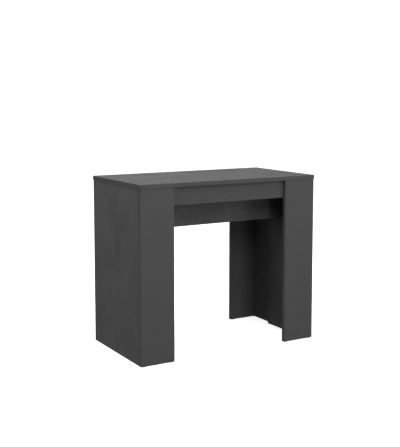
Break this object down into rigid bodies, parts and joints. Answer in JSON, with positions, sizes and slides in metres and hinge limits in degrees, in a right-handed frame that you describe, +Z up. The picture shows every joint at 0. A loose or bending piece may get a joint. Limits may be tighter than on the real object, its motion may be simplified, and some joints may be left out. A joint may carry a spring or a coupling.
{
  "type": "extendable dining table",
  "caption": "Compact extendable console dining table: two sliding half tops on L-shaped board legs, telescopic rails between them and a central leg frame that follows.",
  "frame": {"origin": "on the floor under the centre of the closed table", "axes": "+X along the top towards its right-hand end, +Y from the front to the rear, +Z up"},
  "size_m": [0.9, 0.48, 0.77],
  "materials": {
    "slate_melamine": "matt anthracite slate-effect melamine on chipboard",
    "edging_plastic": "matt anthracite edging strip",
    "rail_aluminium": "extruded, drawn along its length, matt grey anodised",
    "cam_zinc": "dark-plated die-cast cam housing",
    "bright_zinc": "bright zinc-plated steel",
    "screw_steel": "zinc-plated screw",
    "black_bracket": "black powder coat on folded steel strip",
    "beech": "fluted beech dowel",
    "black_nylon": "black moulded nylon",
    "black_felt": "thin black needled felt strip"
  },
  "bodies": {
    "rear_half": {"rear_top": "slate_melamine", "rear_top_edging": "edging_plastic", "rear_left_leg_face": "slate_melamine", "rear_right_leg_face": "slate_melamine", "rear_left_side_panel": "slate_melamine", "rear_right_side_panel": "slate_melamine", "rear_apron": "slate_melamine", "rear_panel_edging": "edging_plastic", "rear_cam_housings": "cam_zinc", "rear_cam_bolts": "bright_zinc", "rear_dowels": "beech", "rear_apron_screws": "screw_steel", "rear_rail_angles": "rail_aluminium", "rear_rail_bolts": "screw_steel", "rear_rail_screws": "screw_steel", "rear_glides": "black_nylon", "seam_felt": "black_felt", "left_rail_1": "rail_aluminium", "right_rail_1": "rail_aluminium"},
    "front_half": {"front_top": "slate_melamine", "front_top_edging": "edging_plastic", "front_left_leg_face": "slate_melamine", "front_right_leg_face": "slate_melamine", "front_left_side_panel": "slate_melamine", "front_right_side_panel": "slate_melamine", "front_apron": "slate_melamine", "front_panel_edging": "edging_plastic", "front_cam_housings": "cam_zinc", "front_cam_bolts": "bright_zinc", "front_dowels": "beech", "front_apron_screws": "screw_steel", "front_rail_angles": "rail_aluminium", "front_rail_bolts": "screw_steel", "front_rail_screws": "screw_steel", "front_glides": "black_nylon", "locating_pins": "black_nylon", "left_rail_7": "rail_aluminium", "right_rail_7": "rail_aluminium"},
    "centre_frame": {"centre_left_leg": "slate_melamine", "centre_right_leg": "slate_melamine", "front_crosspiece": "slate_melamine", "rear_crosspiece": "slate_melamine", "centre_edging": "edging_plastic", "centre_confirmats": "bright_zinc", "centre_dowels": "beech", "centre_glides": "black_nylon", "left_rail_carrier": "black_bracket", "right_rail_carrier": "black_bracket", "carrier_bolts": "screw_steel", "carrier_screws": "screw_steel", "left_rail_4": "rail_aluminium", "right_rail_4": "rail_aluminium"},
    "rail_stage_2": {"left_rail_2": "rail_aluminium", "right_rail_2": "rail_aluminium"},
    "rail_stage_3": {"left_rail_3": "rail_aluminium", "right_rail_3": "rail_aluminium"},
    "rail_stage_5": {"left_rail_5": "rail_aluminium", "right_rail_5": "rail_aluminium"},
    "rail_stage_6": {"left_rail_6": "rail_aluminium", "right_rail_6": "rail_aluminium"}
  },
  "joints": [
    {"name": "front_slide", "type": "slide", "parent": "rear_half", "child": "front_half", "axis": [0, -1, 0], "range_m": [0, 1.56]},
    {"name": "rail_stage_2_slide", "type": "slide", "parent": "rear_half", "child": "rail_stage_2", "axis": [0, -1, 0], "range_m": [0, 0.26]},
    {"name": "rail_stage_3_slide", "type": "slide", "parent": "rear_half", "child": "rail_stage_3", "axis": [0, -1, 0], "range_m": [0, 0.52]},
    {"name": "centre_slide", "type": "slide", "parent": "rear_half", "child": "centre_frame", "axis": [0, -1, 0], "range_m": [0, 0.78]},
    {"name": "rail_stage_5_slide", "type": "slide", "parent": "rear_half", "child": "rail_stage_5", "axis": [0, -1, 0], "range_m": [0, 1.04]},
    {"name": "rail_stage_6_slide", "type": "slide", "parent": "rear_half", "child": "rail_stage_6", "axis": [0, -1, 0], "range_m": [0, 1.3]}
  ],
  "couplings": [
    {"joint": "rail_stage_2_slide", "follows": "front_slide", "ratio": 0.16667},
    {"joint": "rail_stage_3_slide", "follows": "front_slide", "ratio": 0.33333},
    {"joint": "centre_slide", "follows": "front_slide", "ratio": 0.5},
    {"joint": "rail_stage_5_slide", "follows": "front_slide", "ratio": 0.66667},
    {"joint": "rail_stage_6_slide", "follows": "front_slide", "ratio": 0.83333}
  ]
}
